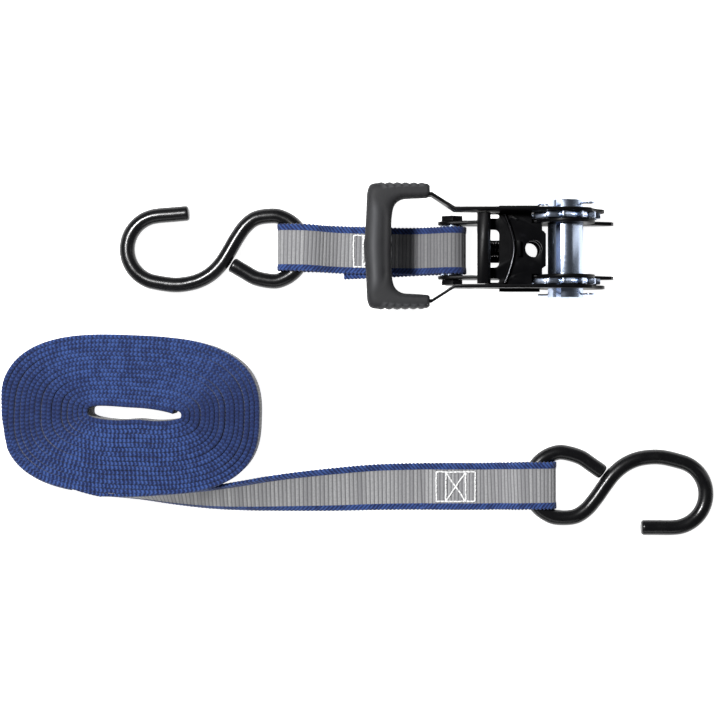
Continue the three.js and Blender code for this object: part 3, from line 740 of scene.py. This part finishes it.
def grip(material):
    """The moulded rubber bow: squarish in section, ridged along its arms, dished along its bar."""
    pairs = [  # outer edge, inner edge, in the ratchet's own plan
        ((-72.6, 32.3), (-72.6, 25.6)), ((-77, 32.8), (-77, 25.3)), ((-83, 32.9), (-82, 25.1)),
        ((-89, 33), (-86.5, 24.7)), ((-95, 33), (-89.3, 23.3)), ((-100.5, 32.9), (-91, 21.2)),
        ((-103.8, 31.8), (-91.8, 18.8)), ((-105.2, 28.4), (-92.2, 16.2)), ((-105.6, 23), (-92.5, 13.4)),
        ((-105.9, 15), (-92.6, 10)), ((-106.4, 7), (-92.6, 5)), ((-106.7, 0), (-92.6, 0))]
    pairs += [((a[0], -a[1]), (b[0], -b[1])) for a, b in pairs[-2::-1]]
    line = catmull(np.array([[*a, *b] for a, b in pairs]), 14)
    outer, inner = line[:, :2], line[:, 2:]
    n = len(line)
    # Six ridges on the outer side of each arm
    x, y = outer[:, 0], outer[:, 1]
    arm = np.clip((x + 101) / 3, 0, 1) * np.clip((RIDGES["start"] - x) / 1.5, 0, 1) * (np.abs(y) > 29.5)
    ridge = np.abs(np.sin(math.pi * (x - RIDGES["start"]) / RIDGES["pitch"])) * arm
    outer = outer + np.stack([np.zeros(n), np.sign(y) * (RIDGES["height"] * ridge - 0.5 * arm)], -1)
    middle, reach = (outer + inner) / 2, (outer - inner) / 2
    angle = np.linspace(0, 2 * math.pi, 56, endpoint=False)
    section = superellipse(1, 1, 3.6, angle)
    ends = np.minimum(np.arange(n), np.arange(n)[::-1])
    shrink = 1 - 0.22 * np.clip(1 - ends / 5, 0, 1) ** 2
    rings = np.zeros((n, len(angle), 3))
    rings[..., :2] = middle[:, None] + reach[:, None] * section[None, :, :1] * shrink[:, None, None]
    rings[..., 2] = GRIP_MIDDLE + GRIP_HALF_HEIGHT * section[None, :, 1] * shrink[:, None]
    # A long oval swell along the outer half of the bar, and a shallow dish beside it
    bar = np.clip((24 - np.abs(middle[:, 1])) / 8, 0, 1)
    bar = (bar * bar * (3 - 2 * bar))[:, None]
    side = section[None, :, 0]
    top = np.clip(section[None, :, 1] * 1.6 - 0.5, 0, 1)
    swell = np.exp(-((side - 0.28) / 0.3) ** 2) * bar * top
    dish = np.exp(-((side + 0.45) / 0.3) ** 2) * bar * top
    rings[..., 2] += 0.9 * swell - 0.9 * dish
    # Where the grip gets its painted highlight: along the swell on the bar and the outer side of the
    # ridges
    crest = 0.85 * swell + 0.5 * (ridge[:, None] * (side > 0.3)) + 0.12
    rings += RATCHET + [0, GRIP_OFFSET, 0]
    verts, faces = skin(rings)
    return build("visual_handle_grip", verts, faces, material, "handle", ["handle_grip"], "rubber_grip",
                 sharp=60, crest=np.clip(crest, 0, 1).ravel())


# ---- Spindle and its wheels --------------------------------------------------------------
SHAFT_R, SLOT, SHAFT_HALF, SLOT_ANGLE = 9.35, 2.7, 25.9, 120
SHAFT_PLAY = 0.3  # between the spindle and the wheels' holes
WHEELS, WHEEL_T = {"near": -18.9, "far": 15.9}, 3.0
PIN_R, PIN_AT = 0.5, 24.1
TOOTH = {"count": 12, "tip": 18.3, "root": 14.3, "steep": 161.3}


def half_round(r, gap, side, steps):
    """One half of a round bar that a slot cuts in two; gap is half the slot's width."""
    opened = math.degrees(math.acos(gap / r))
    middle = SLOT_ANGLE - 90 + (180 if side < 0 else 0)
    return arc(0, 0, r, middle - opened, middle + opened, steps)


def spindle(material):
    for side, name in ((-1, "left"), (1, "right")):
        section = half_round(SHAFT_R, SLOT / 2, side, 60)
        shape = in_ratchet(upright(plate(section, 2 * SHAFT_HALF, 0.5), -SHAFT_HALF))
        build("visual_spindle_half_" + name, *shape, material, "spindle", ["spindle_half_" + name],
              "zinc_steel", sharp=35)


def wheels(material):
    pitch = 360 / TOOTH["count"]
    rim = []
    # Each tooth climbs slowly from the steep face of the last one to its own tip
    for i in range(TOOTH["count"]):
        steep = TOOTH["steep"] + i * pitch
        rim += [polar(TOOTH["root"], steep + 1.5), polar(TOOTH["root"] + 0.5, steep + 5),
                polar(TOOTH["root"] + 1.6, steep + 12), polar(TOOTH["tip"] - 1.1, steep + pitch - 8),
                polar(TOOTH["tip"], steep + pitch - 3.5), polar(TOOTH["tip"] + 0.05, steep + pitch - 1.5),
                polar(TOOTH["tip"], steep + pitch)]
    holes = [half_round(SHAFT_R + SHAFT_PLAY, SLOT / 2 - SHAFT_PLAY, side, 48) for side in (-1, 1)]
    for name, start in WHEELS.items():
        shape = in_ratchet(upright(plate(rim, WHEEL_T, 0.3, holes), start))
        build("visual_ratchet_wheel_" + name, *shape, material, "spindle", ["ratchet_wheel_" + name],
              "zinc_steel", sharp=35)


def cotter_pins(material):
    half = 0.55  # between the pin's middle and each of its legs
    line = [(-14.6, 2.6), (-13.2, 1.5), (-12, half), (-6, half), (6, half), (10.6, half),
            *arc(13.6, 0, 2.3, 150, -150, 12), (10.6, -half), (6, -half), (-6, -half), (-12, -half),
            (-13.2, -1.4), (-14.4, -2.4)]
    path = curve([(u, 0, v) for u, v in line], 0.4)
    pin = turned(tube(path, PIN_R, 14, start=(0, 1, 0)), math.radians(SLOT_ANGLE - 90), 0, 2)
    for side, name in ((-1, "near"), (1, "far")):
        rings = pin + (RATCHET + [0, side * PIN_AT, 0])
        build("visual_cotter_pin_" + name, *skin(rings), material, "spindle", ["cotter_pin_" + name],
              "zinc_steel")


# ---- Springs -----------------------------------------------------------------------------
def pressed(obj):
    """Gives the spring its own copy of its mesh."""
    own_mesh(obj)


BOW_END, BOW_HEIGHT = -33, 6.2
PAWL_SPRING = {"start": -39.2, "length": 7.2, "coil_r": 3.2, "height": -5, "turns": 5, "wire_r": 0.5}


def springs(material):
    z = BOW_HEIGHT
    bow = curve([(BOW_END, 18.7, z), (-30.4, 12.4, z), (-28, 3, z),
                 (-28, -3, z), (-30.4, -12.4, z), (BOW_END, -18.7, z)], 0.6)
    obj = build("visual_release_lever_spring", *skin(tube(bow + RATCHET, 0.8, 20)), material, "handle",
                ["release_lever_spring"], "zinc_steel")
    pressed(obj)
    turns, r, wire_r = (PAWL_SPRING[key] for key in ("turns", "coil_r", "wire_r"))
    t = np.linspace(0, 1, turns * 36 + 1)
    a = 2 * math.pi * turns * t
    helix = np.column_stack([PAWL_SPRING["start"] + PAWL_SPRING["length"] * t, r * np.cos(a),
                             PAWL_SPRING["height"] + r * np.sin(a)])
    obj = build("visual_lock_pawl_spring", *skin(tube(helix + RATCHET, wire_r, 14)), material, "ratchet",
                ["lock_pawl_spring"], "zinc_steel")
    pressed(obj)


# ---- CAD nodes that stay -----------------------------------------------------------------
def finish_node(name, material, bevel=0.3):
    """Rounded arrises and a material on a CAD node that keeps its own mesh."""
    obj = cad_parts[name]
    if not obj.material_slots:
        obj.data.materials.append(material)
    for slot in obj.material_slots:
        slot.material = material
    weld = obj.modifiers.new("weld", "WELD")
    weld.merge_threshold = 0.00001
    planar = obj.modifiers.new("planar", "DECIMATE")
    planar.decimate_type = "DISSOLVE"
    planar.angle_limit = math.radians(1)
    rounding = obj.modifiers.new("bevel", "BEVEL")
    rounding.width, rounding.segments = bevel * MM, 2
    rounding.limit_method, rounding.angle_limit = "ANGLE", math.radians(35)
    rounding.harden_normals = True
    obj.data.shade_smooth()


def main():
    camera()
    studio()
    web, sewing, steel, grip_look, coat = webbing(), thread(), black_steel(), rubber(), vinyl()
    bright = zinc()
    spring = zinc("spring_steel", (0.022, 0.022, 0.024))
    wound, coil_length, end, run_length = long_strap(web)
    short, short_length = short_strap(web)
    long_sewing = stitching("long_strap_stitching", LONG_BOX, sewing, "loose_strap")
    short_sewing = stitching("short_strap_stitching", SHORT_BOX, sewing, "ratchet")
    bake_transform(short)
    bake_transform(end)
    s_hook("short_strap_hook", SHORT_HOOK, "short_hook", coat)
    s_hook("long_strap_hook", LONG_HOOK, "long_hook", coat)
    grip(grip_look)
    spindle(bright)
    wheels(bright)
    cotter_pins(bright)
    springs(spring)
    for name in ("ratchet_frame", "handle_frame", "release_lever", "lock_pawl",
                 "anchor_bolt", "anchor_nut"):
        finish_node(name, steel)
    finish_node("anchor_spacer", bright, 0.4)
    print("webbing, mm: coil %.0f, run %.0f, short %.0f" % (coil_length, run_length, short_length))


main()
